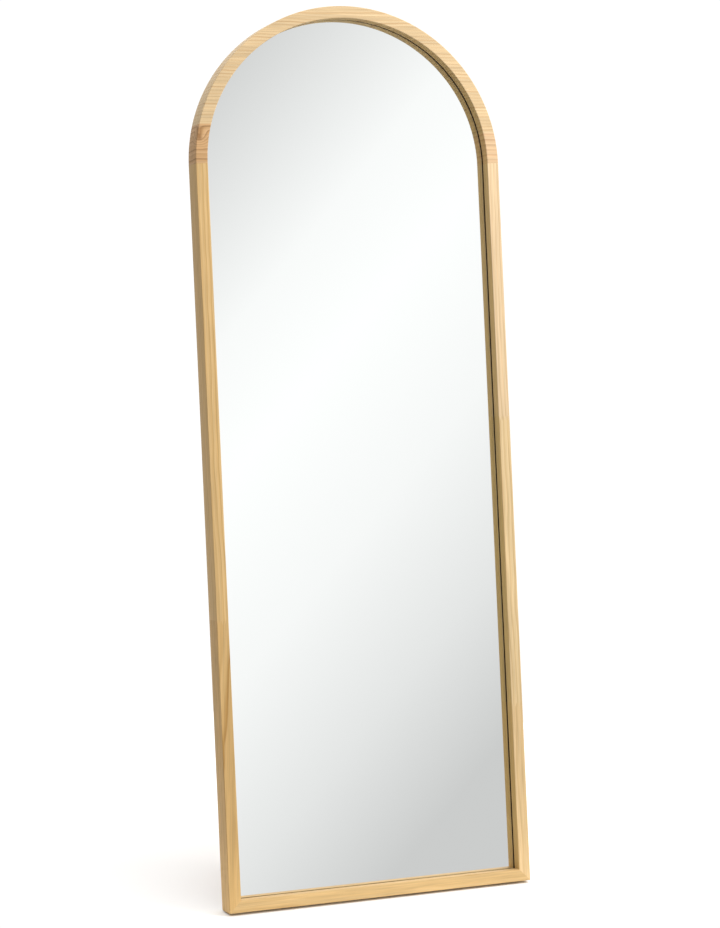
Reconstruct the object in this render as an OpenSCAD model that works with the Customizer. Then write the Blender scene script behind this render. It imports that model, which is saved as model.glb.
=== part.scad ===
/* [Frame] */
// Height of the frame, measured up its own front face
frame_h = 1700; // [1400:10:2100]
// Width of the frame
frame_w = 620; // [500:10:760]
// Depth of the frame from its front face to its back face
frame_d = 45; // [38:1:60]
// Width of the frame's front face
face_w = 23; // [19:1:32]
// Height of the arch above its springing line
arch_rise = 300; // [240:5:370]
// Depth of the inner wall from the front face back to the rebate
wall_d = 21; // [20:1:31]
// Width of the rebate that takes the glass
rebate_w = 8; // [6:1:10]
// Angle by which the standing mirror leans back
lean = 6.9; // [5:0.1:9]

/* [Joints in the wood] */
// Height of the finger joint in the left stile
left_joint_z = 543; // [200:1:800]
// Height of the lower finger joint in the right stile
right_low_joint_z = 344; // [150:1:600]
// Height of the upper finger joint in the right stile
right_high_joint_z = 903; // [700:1:1060]
// Height of the left shoulder block above the springing line
left_shoulder_h = 74; // [50:1:110]
// Height of the right shoulder block above the springing line
right_shoulder_h = 60; // [50:1:110]
// Length of the fingers of a finger joint
finger_len = 11; // [6:1:16]
// Distance between neighbouring fingers
finger_pitch = 4.6; // [3:0.1:8]
// Diameter of the dowels at the springing line
spring_dowel_d = 8; // [5:0.5:10]
// Diameter of the dowels that cross the mitres
mitre_dowel_d = 5; // [4:0.5:6]
// Length of the dowels at the springing line
spring_dowel_l = 60; // [40:1:90]

/* [Glass and back] */
// Thickness of the mirror glass
glass_t = 4; // [3:0.5:6]
// Thickness of the cushion tape between the lip and the glass
tape_t = 1; // [0.5:0.1:2]
// Thickness of the backing panel
panel_t = 3; // [2.5:0.5:6]
// Thickness of the sheet that the retaining clips are bent from
clip_t = 1.2; // [0.8:0.1:2]
// Width of a retaining clip
clip_w = 14; // [10:1:20]

/* [Stand] */
// Distance of the stand's pivot below the springing line
pivot_drop = 250; // [150:5:350]
// Angle between a standing leg and the vertical
splay = 6; // [4:0.1:6]
// Distance from the middle of the mirror to the middle of a leg
leg_x = 140; // [110:5:180]
// Width of a leg, seen from behind
leg_w = 32; // [26:1:40]
// Thickness of the legs and of the stand's bars
leg_t = 20; // [16:1:26]
// Height of the stand's bars
bar_h = 40; // [30:1:60]
// Thickness of the pivot rail across the back
rail_t = 18; // [15:1:25]
// Height of the pivot rail
rail_h = 80; // [64:1:110]
// Diameter of the pivot bolts
bolt_d = 6; // [5:0.5:8]
// Thickness of the pivot brackets' steel
bracket_t = 2; // [1.5:0.1:3]
// Thickness of the rubber pads under the frame and the legs
pad_t = 1.5; // [1:0.1:3]

/* [Hangers] */
// Distance of the hanging rings from the frame's sides
hanger_inset = 68; // [40:1:90]
// Thickness of the wire of a hanging ring
ring_wire_d = 3; // [2.5:0.1:4]
// Inner width of a hanging ring
ring_w = 20; // [16:1:26]

/* [Hidden] */

// Colours
fir = [0.87, 0.73, 0.54];
pink_fir = [0.88, 0.70, 0.55];
dark_fir = [0.80, 0.65, 0.45];
beech = [0.80, 0.66, 0.47];
birch = [0.85, 0.76, 0.60];
steel = [0.72, 0.73, 0.74];
black_rubber = [0.08, 0.08, 0.08];

// Shared lengths
half_w = frame_w / 2;
spring_z = frame_h - arch_rise;
back_w = face_w - rebate_w;
glass_y = wall_d + tape_t;
panel_y = glass_y + glass_t;
panel_back_y = panel_y + panel_t;
cut = 1;
arch_steps = 96;

// Clearances
edge_gap = 2;
clip_gap = 0.3;
pivot_gap = 0.06;
side_gap = 0.3;
stop_gap = 0.15;

// How the mirror stands: the back edge of its underside is planed level for the pads
sole_w = 12;
base_z = pad_t + sin(lean) * (frame_d - sole_w);
pad_l = 90;
pad_inset = 25;
pad_edge = 1;

// Screws that hold metal to the frame's back face
screw_r = 1.6;
screw_head_r = 3.2;
screw_head_h = 1.8;
screw_len = 16;
screw_edge = 4.5;

// Corner braces and springing plates
brace_t = 1.5;
brace_w = 11;
brace_arm = 70;
plate_l = 110;
strap_margin = 10;
strap_pitch = 26;
plate_screw_z = 15;

// The pivot rail and its brackets
rail_end_gap = 7;
pivot_z = spring_z - pivot_drop;
rail_back_y = frame_d + rail_t;
stop_y = rail_back_y + bracket_t;
rail_screw_len = 34;
rail_screw_r = 2;
rail_screw_head_r = 3.5;
rail_screw_head_h = 2.4;
rail_screw_x = half_w - rail_end_gap - rail_screw_head_r - 0.5;
rail_screw_z = rail_h / 2 - 18;
rail_metal_screw_len = rail_t - 4;
washer_t = 1;
washer_r = bolt_d / 2 + 5;
cheek_r = bolt_d / 2 + 7.5;
cheek_x = leg_w / 2 + washer_t + side_gap;
flange_w = 15;
bracket_h = 56;
bracket_screw_z = bracket_h / 2 - 10;
bolt_head_r = bolt_d / 2 + 2.5;
bolt_head_h = 3.6;
nut_r = bolt_d / 2 + 2.8;
nut_h = 6;

// The stand, which swings on the pivot axis
open_angle = lean + splay;
leg_top = 30;
pivot_y = stop_y + leg_t / 2 * cos(open_angle) + leg_top * sin(open_angle) + stop_gap;
pivot_h = base_z + pivot_z * cos(lean) - pivot_y * sin(lean);
leg_len = pivot_h / cos(splay);
bar_l = 2 * leg_x - leg_w;
top_bar_drop = 85;
bottom_bar_rise = 190;
top_bar_z = pivot_z - top_bar_drop;
bottom_bar_z = pivot_z - leg_len + bottom_bar_rise;
stand_dowel_r = 4;
stand_dowel_l = 50;
stand_dowel_in_leg = 20;
stand_dowel_z = bar_h / 4;

// The hangers, on the back of the pivot rail
hanger_rise = 21;
hanger_z = pivot_z + hanger_rise;
hanger_x = half_w - hanger_inset;
hanger_plate_w = 12;
hanger_plate_l = 42;
hanger_plate_t = 1.5;
ring_wire_r = ring_wire_d / 2;
ring_drop_l = 22;
loop_t = 1.2;
ring_y = rail_back_y + hanger_plate_t + ring_wire_r + pivot_gap;
hanger_screw_pitch = 14;

// The origin lies under the middle of the whole, on the floor
foot_back_y = pivot_y * cos(lean) + pivot_z * sin(lean) + leg_len * sin(splay)
    + leg_t / 2 * (cos(splay) + sin(splay) * tan(splay));
base_y = -foot_back_y / 2;

// Puts a piece drawn in the upright frame's own axes where the mirror stands
module leaning() {
    translate([0, base_y, base_z]) rotate([-lean, 0, 0]) children();
}

// Puts a piece drawn against the frame's back where the opened stand holds it
module opened() {
    leaning() translate([0, pivot_y, pivot_z]) rotate([open_angle, 0, 0])
        translate([0, -pivot_y, -pivot_z]) children();
}

// The space below a level over the floor, in the frame's own axes
module below_in_frame(level) {
    rotate([lean, 0, 0]) translate([-frame_w, -base_y - frame_h, level - base_z - frame_h])
        cube([2 * frame_w, 2 * frame_h, frame_h]);
}

// The space below a level over the floor, in the folded stand's axes
module below_in_stand(level) {
    translate([0, pivot_y, pivot_z]) rotate([-splay, 0, 0])
        translate([-frame_w, -frame_h, level - pivot_h - frame_h])
            cube([2 * frame_w, 2 * frame_h, frame_h]);
}

// Thickens an outline drawn in X and Z from y0 to y1
module slab(y0, y1) {
    translate([0, y1, 0]) rotate([90, 0, 0]) linear_extrude(y1 - y0) children();
}

// A point of the arch at an angle from its right springing point, moved inwards
function arch_point(angle, inset) =
    [(half_w - inset) * cos(angle), spring_z + (arch_rise - inset) * sin(angle)];

// The mirror's outline, moved inwards: straight sides and a base below a half-ellipse
module outline(inset) {
    polygon(concat(
        [[half_w - inset, inset]],
        [for (i = [0:arch_steps]) arch_point(180 * i / arch_steps, inset)],
        [[inset - half_w, inset]]
    ));
}

// A round bar along Y that ends at the given depth and runs forwards
module peg(r, length) {
    rotate([90, 0, 0]) cylinder(h = length, r = r, $fn = 24);
}

// A pan-head screw that goes forwards into the wood from y = 0
module screw(r, length, head_r, head_h) {
    peg(r, length);
    translate([0, head_h, 0]) peg(head_r, head_h);
}

// Places on the frame's back, each with the angle of the outward direction
stile_clips = 4;
stile_clip_end = 170;
stile_clip_pitch = (spring_z - 2 * stile_clip_end) / (stile_clips - 1);
clip_places = concat(
    [for (side = [0, 180], i = [0:stile_clips - 1])
        [(half_w - back_w) * cos(side), stile_clip_end + i * stile_clip_pitch, side]],
    [for (angle = [30:30:150])
        concat(arch_point(angle, back_w),
            atan2((half_w - back_w) * sin(angle), (arch_rise - back_w) * cos(angle)))],
    [for (x = [-frame_w / 5, frame_w / 5]) [x, back_w, 270]]
);

module at_clips() {
    for (place = clip_places)
        translate([place[0], 0, place[1]]) rotate([0, -place[2], 0]) children();
}

// Screw places of the corner braces and of the springing plates, on the right half
strap_x = half_w - back_w / 2;
brace_screw_places = [
    [strap_x, back_w / 2 + brace_arm - strap_margin],
    [strap_x, back_w / 2 + brace_arm - strap_margin - strap_pitch],
    [strap_x - brace_arm + strap_margin, back_w / 2],
    [strap_x - brace_arm + strap_margin + strap_pitch, back_w / 2]
];
plate_screw_zs = [
    strap_margin - plate_l / 2, -plate_screw_z, plate_screw_z, plate_l / 2 - strap_margin
];
// Above the springing line the screws and the plate follow the arch
function strap_x_at(z) =
    z < 0 ? strap_x : (half_w - back_w / 2) * sqrt(1 - pow(z / (arch_rise - back_w / 2), 2));

module on_both_sides() {
    children();
    mirror([1, 0, 0]) children();
}

module at_strap_screws() {
    on_both_sides() {
        for (place = brace_screw_places) translate([place[0], frame_d, place[1]]) children();
        for (z = plate_screw_zs) translate([strap_x_at(z), frame_d, spring_z + z]) children();
    }
}

module at_rail_screws() {
    on_both_sides() for (z = [-rail_screw_z, rail_screw_z])
        translate([rail_screw_x, rail_back_y - rail_screw_head_h, pivot_z + z]) children();
}

module at_hanger_screws() {
    on_both_sides() for (i = [1, 2])
        translate([hanger_x, rail_back_y, hanger_z - i * hanger_screw_pitch]) children();
}

// A dowel that crosses the mitre square to it, on the right half
module mitre_dowel() {
    translate([half_w - face_w / 2, wall_d / 2, face_w / 2]) rotate([0, -45, 0])
        translate([0, 0, -face_w / 2]) cylinder(h = face_w, d = mitre_dowel_d, $fn = 32);
}

module springing_dowel() {
    translate([half_w - face_w / 2, wall_d / 2, spring_z - spring_dowel_l / 2])
        cylinder(h = spring_dowel_l, d = spring_dowel_d, $fn = 32);
}

// The whole wooden ring with its rebate, its level sole and its holes
module frame_ring() {
    difference() {
        slab(0, frame_d) outline(0);
        slab(-cut, frame_d + cut) outline(face_w);
        slab(wall_d, frame_d + cut) outline(back_w);
        below_in_frame(pad_t);
        on_both_sides() {
            mitre_dowel();
            springing_dowel();
        }
        at_clips() translate([screw_edge + clip_gap, frame_d, 0]) peg(screw_r, screw_len);
        at_strap_screws() peg(screw_r, screw_len);
        at_rail_screws() peg(rail_screw_r, rail_screw_len);
    }
}

// The edge of a finger joint across the stile at x, from the inside outwards
finger_half = finger_pitch / 2;
finger_steps = ceil((face_w + 4) / finger_half);
function fingers(z) = [
    for (i = [0:finger_steps])
        [half_w - face_w - 2 + i * finger_half, z + (i % 2 == 0 ? -1 : 1) * finger_len / 2]
];
function straight(z) = [[half_w - face_w - 2, z], [half_w + finger_half, z]];
mitre_line = [[half_w - face_w - 2, face_w + 2], [half_w + 2, -2]];
function reversed(points) = [for (i = [len(points) - 1:-1:0]) points[i]];

// The part of the ring between two edges, on the right half
module stile_piece(low_edge, high_edge) {
    intersection() {
        frame_ring();
        slab(-cut, frame_d + cut) polygon(concat(low_edge, reversed(high_edge)));
    }
}

module left_stile_piece(low_edge, high_edge) {
    mirror([1, 0, 0]) stile_piece(low_edge, high_edge);
}

module left_stile_lower() {
    color(dark_fir) leaning() left_stile_piece(mitre_line, fingers(left_joint_z));
}

module left_stile_upper() {
    color(fir) leaning() left_stile_piece(fingers(left_joint_z), straight(spring_z));
}

module right_stile_lower() {
    color(dark_fir) leaning() stile_piece(mitre_line, fingers(right_low_joint_z));
}

module right_stile_middle() {
    color(fir) leaning() stile_piece(fingers(right_low_joint_z), fingers(right_high_joint_z));
}

module right_stile_upper() {
    color(pink_fir) leaning() stile_piece(fingers(right_high_joint_z), straight(spring_z));
}

module bottom_rail() {
    color(fir) leaning() intersection() {
        frame_ring();
        slab(-cut, frame_d + cut) polygon([
            [-half_w - 2, -2], [half_w + 2, -2],
            [half_w - face_w - 2, face_w + 2], [face_w + 2 - half_w, face_w + 2]
        ]);
    }
}

// A block between the springing line and the crown, on the right half
module shoulder_block(height) {
    intersection() {
        frame_ring();
        translate([half_w / 2, -cut, spring_z]) cube([half_w, frame_d + 2 * cut, height]);
    }
}

module left_shoulder() {
    color(dark_fir) leaning() mirror([1, 0, 0]) shoulder_block(left_shoulder_h);
}

module right_shoulder() {
    color(pink_fir) leaning() shoulder_block(right_shoulder_h);
}

module arch_crown() {
    color(fir) leaning() intersection() {
        frame_ring();
        union() {
            translate([-half_w - cut, -cut, spring_z + left_shoulder_h])
                cube([half_w + cut, frame_d + 2 * cut, arch_rise]);
            translate([0, -cut, spring_z + right_shoulder_h])
                cube([half_w + cut, frame_d + 2 * cut, arch_rise]);
        }
    }
}

module mitre_dowels() {
    color(beech) leaning() on_both_sides() mitre_dowel();
}

module springing_dowels() {
    color(beech) leaning() on_both_sides() springing_dowel();
}

// A band of foam on the lip, set back from its edge
tape_w = rebate_w - edge_gap - 1;
module cushion_tape() {
    color(black_rubber) leaning() difference() {
        slab(wall_d, glass_y) outline(back_w + edge_gap);
        slab(wall_d - cut, glass_y + cut) outline(back_w + edge_gap + tape_w);
    }
}

module mirror_glass() {
    color([0.82, 0.85, 0.86]) leaning() slab(glass_y, panel_y) outline(back_w + edge_gap);
}

module backing_panel() {
    color(birch) leaning() slab(panel_y, panel_back_y) outline(back_w + edge_gap);
}

// A clip bent in a Z: one tab on the wood, one on the panel
module retaining_clips() {
    color(steel) leaning() at_clips() difference() {
        translate([0, 0, -clip_w / 2]) union() {
            translate([-clip_t - clip_gap, frame_d, 0])
                cube([clip_t + clip_gap + 2 * screw_edge, clip_t, clip_w]);
            translate([-clip_t - clip_gap, panel_back_y, 0])
                cube([clip_t, frame_d + clip_t - panel_back_y, clip_w]);
            translate([-rebate_w - screw_edge, panel_back_y, 0])
                cube([rebate_w + screw_edge - clip_gap, clip_t, clip_w]);
        }
        translate([screw_edge + clip_gap, frame_d + clip_t + cut, 0]) peg(screw_r, clip_t + 2 * cut);
    }
}

module clip_screws() {
    color(steel) leaning() at_clips() translate([screw_edge + clip_gap, frame_d + clip_t, 0])
        screw(screw_r, screw_len + clip_t, screw_head_r, screw_head_h);
}

module corner_braces() {
    color(steel) leaning() difference() {
        on_both_sides() slab(frame_d, frame_d + brace_t) difference() {
            translate([strap_x + brace_w / 2 - brace_arm, (back_w - brace_w) / 2])
                square([brace_arm, brace_arm]);
            translate([strap_x - brace_w / 2 - brace_arm, (back_w + brace_w) / 2])
                square([brace_arm, brace_arm]);
        }
        at_strap_screws() translate([0, brace_t + cut, 0]) peg(screw_r, brace_t + 2 * cut);
    }
}

// A flat plate across the joint at the springing line, sawn to the line of the arch
module springing_plates() {
    color(steel) leaning() difference() {
        on_both_sides() slab(frame_d, frame_d + brace_t) intersection() {
            difference() {
                outline((back_w - brace_w) / 2);
                outline((back_w + brace_w) / 2);
            }
            translate([half_w / 2, spring_z - plate_l / 2]) square([half_w, plate_l]);
        }
        at_strap_screws() translate([0, brace_t + cut, 0]) peg(screw_r, brace_t + 2 * cut);
    }
}

module plate_screws() {
    color(steel) leaning() at_strap_screws() translate([0, brace_t, 0])
        screw(screw_r, screw_len + brace_t, screw_head_r, screw_head_h);
}

// Pads under the level sole of the bottom rail
module frame_pads() {
    color(black_rubber) on_both_sides()
        translate([half_w - pad_inset - pad_l, base_y + (frame_d - sole_w + pad_edge) / cos(lean), 0])
            cube([pad_l, sole_w - 2 * pad_edge, pad_t]);
}

module pivot_rail() {
    color(beech) leaning() difference() {
        translate([rail_end_gap - half_w, frame_d, pivot_z - rail_h / 2])
            cube([2 * (half_w - rail_end_gap), rail_t, rail_h]);
        at_rail_screws() {
            peg(rail_screw_r, rail_screw_len);
            translate([0, rail_screw_head_h + cut, 0]) peg(rail_screw_head_r, rail_screw_head_h + cut);
        }
        at_bracket_screws() translate([0, cut, 0]) peg(screw_r, rail_metal_screw_len + cut);
        at_hanger_screws() translate([0, cut, 0]) peg(screw_r, rail_metal_screw_len + cut);
    }
}

module rail_screws() {
    color(steel) leaning() at_rail_screws()
        screw(rail_screw_r, rail_screw_len, rail_screw_head_r, rail_screw_head_h);
}

bracket_screw_x = cheek_x + bracket_t + flange_w / 2;
module at_bracket_screws() {
    on_both_sides() for (x = [-bracket_screw_x, bracket_screw_x], z = [-bracket_screw_z, bracket_screw_z])
        translate([leg_x + x, rail_back_y, pivot_z + z]) children();
}

// The pivot bolt's hole through both cheeks of a bracket, along X
module pivot_bar(r, length) {
    translate([leg_x - length / 2, pivot_y, pivot_z]) rotate([0, 90, 0])
        cylinder(h = length, r = r, $fn = 48);
}

// A steel channel: a back plate with two flanges and a cheek on each side of the leg
module bracket() {
    difference() {
        union() {
            translate([leg_x - cheek_x - bracket_t - flange_w, rail_back_y, pivot_z - bracket_h / 2])
                cube([2 * (cheek_x + bracket_t + flange_w), bracket_t, bracket_h]);
            for (x = [leg_x - cheek_x - bracket_t, leg_x + cheek_x]) {
                translate([x, rail_back_y, pivot_z - cheek_r])
                    cube([bracket_t, pivot_y - rail_back_y, 2 * cheek_r]);
                translate([x, pivot_y, pivot_z]) rotate([0, 90, 0])
                    cylinder(h = bracket_t, r = cheek_r, $fn = 48);
            }
        }
        pivot_bar(bolt_d / 2, 2 * cheek_x + 4 * bracket_t);
        at_bracket_screws() translate([0, bracket_t + cut, 0]) peg(screw_r, bracket_t + 2 * cut);
    }
}

module left_bracket() {
    color(steel) leaning() mirror([1, 0, 0]) bracket();
}

module right_bracket() {
    color(steel) leaning() bracket();
}

module bracket_screws() {
    color(steel) leaning() at_bracket_screws() translate([0, bracket_t, 0])
        screw(screw_r, rail_metal_screw_len + bracket_t, screw_head_r, screw_head_h);
}

// The head lies on the outer cheek, and the threaded end stands out past the nut
bolt_grip = 2 * (cheek_x + bracket_t);
bolt_end = nut_h + 2;
module pivot_bolt() {
    translate([leg_x + bolt_grip / 2, pivot_y, pivot_z]) rotate([0, 90, 0]) {
        translate([0, 0, -bolt_grip - bolt_end])
            cylinder(h = bolt_grip + bolt_end, d = bolt_d, $fn = 48);
        cylinder(h = bolt_head_h, r = bolt_head_r, $fn = 48);
    }
}

module left_pivot_bolt() {
    color(steel) leaning() mirror([1, 0, 0]) pivot_bolt();
}

module right_pivot_bolt() {
    color(steel) leaning() pivot_bolt();
}

module pivot_nuts() {
    color(steel) leaning() on_both_sides() difference() {
        translate([leg_x - bolt_grip / 2 - nut_h, pivot_y, pivot_z]) rotate([0, 90, 0])
            cylinder(h = nut_h, r = nut_r, $fn = 6);
        pivot_bar(bolt_d / 2, bolt_grip + 4 * nut_h);
    }
}

module pivot_washers() {
    color([0.93, 0.93, 0.90]) leaning() on_both_sides() difference() {
        for (x = [leg_x - cheek_x, leg_x + cheek_x - washer_t])
            translate([x, pivot_y, pivot_z]) rotate([0, 90, 0])
                cylinder(h = washer_t, r = washer_r, $fn = 48);
        pivot_bar(bolt_d / 2, 2 * cheek_x + bracket_t);
    }
}

// A dowel hole or a dowel at each end of a bar, on the right half
module stand_dowel_pair(bar_z) {
    for (z = [-stand_dowel_z, stand_dowel_z])
        translate([leg_x - leg_w / 2 + stand_dowel_in_leg - stand_dowel_l, pivot_y, bar_z + z])
            rotate([0, 90, 0]) cylinder(h = stand_dowel_l, r = stand_dowel_r, $fn = 32);
}

// A straight leg, bored for the pivot bolt, with its foot cut level
module leg() {
    difference() {
        translate([leg_x - leg_w / 2, pivot_y - leg_t / 2, pivot_z - leg_len - leg_t])
            cube([leg_w, leg_t, leg_len + leg_t + leg_top]);
        below_in_stand(pad_t);
        pivot_bar(bolt_d / 2 + pivot_gap, leg_w + 2 * cut);
        stand_dowel_pair(top_bar_z);
        stand_dowel_pair(bottom_bar_z);
    }
}

module left_leg() {
    color(beech) opened() mirror([1, 0, 0]) leg();
}

module right_leg() {
    color(beech) opened() leg();
}

module stand_bar(bar_z) {
    difference() {
        translate([-bar_l / 2, pivot_y - leg_t / 2, bar_z - bar_h / 2]) cube([bar_l, leg_t, bar_h]);
        on_both_sides() stand_dowel_pair(bar_z);
    }
}

module stand_top_bar() {
    color(beech) opened() stand_bar(top_bar_z);
}

module stand_bottom_bar() {
    color(beech) opened() stand_bar(bottom_bar_z);
}

module stand_dowels() {
    color(beech) opened() on_both_sides() {
        stand_dowel_pair(top_bar_z);
        stand_dowel_pair(bottom_bar_z);
    }
}

// Pads under the level ends of the legs
module leg_pads() {
    color(black_rubber) opened() difference() {
        intersection() {
            on_both_sides()
                translate([leg_x - leg_w / 2 + pad_edge, pivot_y - leg_t / 2 + pad_edge,
                    pivot_z - leg_len - leg_t])
                    cube([leg_w - 2 * pad_edge, leg_t - 2 * pad_edge, 2 * leg_t]);
            below_in_stand(pad_t);
        }
        below_in_stand(0);
    }
}

// A narrow plate with two screws, rolled over the ring's wire at its upper end
module hanger_plate() {
    difference() {
        union() {
            translate([hanger_x - hanger_plate_w / 2, rail_back_y, hanger_z - hanger_plate_l])
                cube([hanger_plate_w, hanger_plate_t, hanger_plate_l]);
            translate([hanger_x, ring_y, hanger_z]) rotate([0, 90, 0])
                cylinder(h = hanger_plate_w, r = ring_wire_r + pivot_gap + loop_t, center = true, $fn = 48);
        }
        translate([hanger_x, ring_y, hanger_z]) rotate([0, 90, 0])
            cylinder(h = ring_w, r = ring_wire_r + pivot_gap, center = true, $fn = 48);
        translate([0, rail_back_y - rail_t, 0]) cube([frame_w, rail_t, frame_h]);
        at_hanger_screws() translate([0, hanger_plate_t + cut, 0]) peg(screw_r, hanger_plate_t + 2 * cut);
    }
}

// A D of round wire: a straight bar in the loop, two sides and a half-round end
ring_bow_r = ring_w / 2 + ring_wire_r;
module hanger_ring() {
    translate([hanger_x, ring_y, hanger_z]) rotate([lean, 0, 0]) {
        rotate([0, 90, 0]) cylinder(h = 2 * ring_bow_r, r = ring_wire_r, center = true, $fn = 32);
        for (x = [-ring_bow_r, ring_bow_r]) {
            translate([x, 0, 0]) sphere(r = ring_wire_r, $fn = 32);
            translate([x, 0, ring_bow_r - ring_drop_l])
                cylinder(h = ring_drop_l - ring_bow_r, r = ring_wire_r, $fn = 32);
        }
        translate([0, 0, ring_bow_r - ring_drop_l]) rotate([90, 0, 0])
            rotate([0, 0, 180]) rotate_extrude(angle = 180, $fn = 64)
                translate([ring_bow_r, 0]) circle(r = ring_wire_r, $fn = 32);
    }
}

module left_hanger_plate() {
    color(steel) leaning() mirror([1, 0, 0]) hanger_plate();
}

module right_hanger_plate() {
    color(steel) leaning() hanger_plate();
}

module left_hanger_ring() {
    color(steel) leaning() mirror([1, 0, 0]) hanger_ring();
}

module right_hanger_ring() {
    color(steel) leaning() hanger_ring();
}

module hanger_screws() {
    color(steel) leaning() at_hanger_screws() translate([0, hanger_plate_t, 0])
        screw(screw_r, rail_metal_screw_len + hanger_plate_t, screw_head_r, screw_head_h);
}

left_stile_lower();
left_stile_upper();
right_stile_lower();
right_stile_middle();
right_stile_upper();
bottom_rail();
left_shoulder();
right_shoulder();
arch_crown();
mitre_dowels();
springing_dowels();
cushion_tape();
mirror_glass();
backing_panel();
retaining_clips();
clip_screws();
corner_braces();
springing_plates();
plate_screws();
frame_pads();
pivot_rail();
rail_screws();
left_bracket();
right_bracket();
bracket_screws();
left_pivot_bolt();
right_pivot_bolt();
pivot_nuts();
pivot_washers();
left_leg();
right_leg();
stand_top_bar();
stand_bottom_bar();
stand_dowels();
leg_pads();
left_hanger_plate();
right_hanger_plate();
left_hanger_ring();
right_hanger_ring();
hanger_screws();
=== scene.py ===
import math

import bmesh
import bpy
import numpy as np
from mathutils.geometry import tessellate_polygon
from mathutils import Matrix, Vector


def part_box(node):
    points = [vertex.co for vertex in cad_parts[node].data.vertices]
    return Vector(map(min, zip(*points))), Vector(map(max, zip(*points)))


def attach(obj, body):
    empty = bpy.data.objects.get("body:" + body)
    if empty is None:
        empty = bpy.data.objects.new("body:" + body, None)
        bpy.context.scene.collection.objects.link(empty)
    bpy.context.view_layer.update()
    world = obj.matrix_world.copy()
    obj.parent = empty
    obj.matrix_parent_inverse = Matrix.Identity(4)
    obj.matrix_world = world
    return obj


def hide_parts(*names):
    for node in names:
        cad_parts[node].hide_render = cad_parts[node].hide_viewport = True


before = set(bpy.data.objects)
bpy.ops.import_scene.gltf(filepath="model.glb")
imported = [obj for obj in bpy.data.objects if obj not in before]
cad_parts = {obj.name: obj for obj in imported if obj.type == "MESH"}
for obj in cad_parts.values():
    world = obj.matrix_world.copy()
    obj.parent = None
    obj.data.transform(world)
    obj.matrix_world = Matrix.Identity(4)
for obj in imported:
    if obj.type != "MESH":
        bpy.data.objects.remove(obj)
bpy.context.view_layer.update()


# ---- The wooden frame --------------------------------------------------------
# A box-section frame of finger-jointed fir: planed lengths are glued end to end, mitred at the
# bottom corners and glued to an arch that is sawn from a panel whose boards lie level. The edges
# are eased with fine paper and the whole is sprayed with clear satin lacquer.

MM = 0.001
LEAN = math.radians(6.9)
FACE, DEPTH, WALL, REBATE = 23 * MM, 45 * MM, 21 * MM, 8 * MM
BACK_W = FACE - REBATE
SOLE = 12 * MM
ARRIS = 1.0 * MM
FINGER_LENGTH, FINGER_PITCH = 11 * MM, 4.6 * MM

rail_low, rail_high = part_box("bottom_rail")
crown_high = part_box("arch_crown")[1]
HALF_W = rail_high.x
FOOT_Y = rail_low.y
PAD_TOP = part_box("frame_pads")[1].z
FOOT_Z = PAD_TOP + math.sin(LEAN) * (DEPTH - SOLE)
HEIGHT = (crown_high.z - FOOT_Z) / math.cos(LEAN)
SPRING = 1400 * MM
RISE = HEIGHT - SPRING


def leaning(across, depth, up):
    """Points of the frame's own axes (right, back, up its face) turned back by the lean and put
    where the frame stands."""
    c, s = math.cos(LEAN), math.sin(LEAN)
    across, depth, up = np.broadcast_arrays(across, depth, up)
    return np.stack([across, FOOT_Y + depth * c + up * s, FOOT_Z - depth * s + up * c], -1)


def new_piece(name, shells, material, fill=None, ring=False):
    """One mesh of closed shells. A shell is an array of rows of points, joined by four-cornered
    faces that close on themselves across. Its ends are one flat face each, or the triangles of a
    fill. In a ring the last row is joined to the first."""
    points, faces, used = [], [], 0
    for shell in shells:
        rows, columns = shell.shape[:2]
        r, c = np.meshgrid(np.arange(rows if ring else rows - 1), np.arange(columns), indexing="ij")
        ahead, beside = (r + 1) % rows * columns, (c + 1) % columns
        quads = np.stack([r * columns + c, r * columns + beside, ahead + beside, ahead + c], -1)
        faces += (quads.reshape(-1, 4) + used).tolist()
        if not ring:
            end = np.arange(columns)[None] if fill is None else np.array(fill)
            faces += (end + used).tolist() + (end + used + (rows - 1) * columns).tolist()
        points.append(shell.reshape(-1, 3))
        used += rows * columns
    mesh = bpy.data.meshes.new(name)
    mesh.from_pydata(np.concatenate(points).tolist(), [], faces)
    outwards = bmesh.new()
    outwards.from_mesh(mesh)
    bmesh.ops.recalc_face_normals(outwards, faces=outwards.faces)
    outwards.to_mesh(mesh)
    outwards.free()
    mesh.shade_smooth()
    mesh.set_sharp_from_angle(angle=math.radians(35))
    mesh.materials.append(material)
    piece = bpy.data.objects.new(name, mesh)
    bpy.context.scene.collection.objects.link(piece)
    return piece


def take_place(piece, node_name, body):
    """Lets a piece stand for its CAD node, on a body."""
    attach(piece, body)
    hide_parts(node_name)


def rounded(corners, radii, steps=4):
    """A closed outline with each corner replaced by an arc that touches both of its sides. The
    arc's middle lies on the line that halves the corner, at the radius over the sine of half the
    angle. A corner of radius 0 stays one point."""
    corners = np.array(corners, float)
    radii = np.broadcast_to(radii, len(corners))[:, None]
    back, ahead = np.roll(corners, 1, 0) - corners, np.roll(corners, -1, 0) - corners
    back /= np.linalg.norm(back, axis=1)[:, None]
    ahead /= np.linalg.norm(ahead, axis=1)[:, None]
    halving = (back + ahead) / np.linalg.norm(back + ahead, axis=1)[:, None]
    half = np.arccos(np.sum(back * ahead, 1))[:, None] / 2
    middle = (corners + halving * radii / np.sin(half))[:, None]
    first, last = ((corners + way * radii / np.tan(half))[:, None] for way in (back, ahead))
    t = np.linspace(0, 1, steps + 1)[:, None]
    arm = first * (1 - t) + last * t - middle
    arm /= np.maximum(np.linalg.norm(arm, axis=2), 1e-9)[:, :, None]
    repeated = (radii == 0) & (np.arange(steps + 1) > 0)
    return (middle + arm * radii[:, None])[~repeated]


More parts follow.
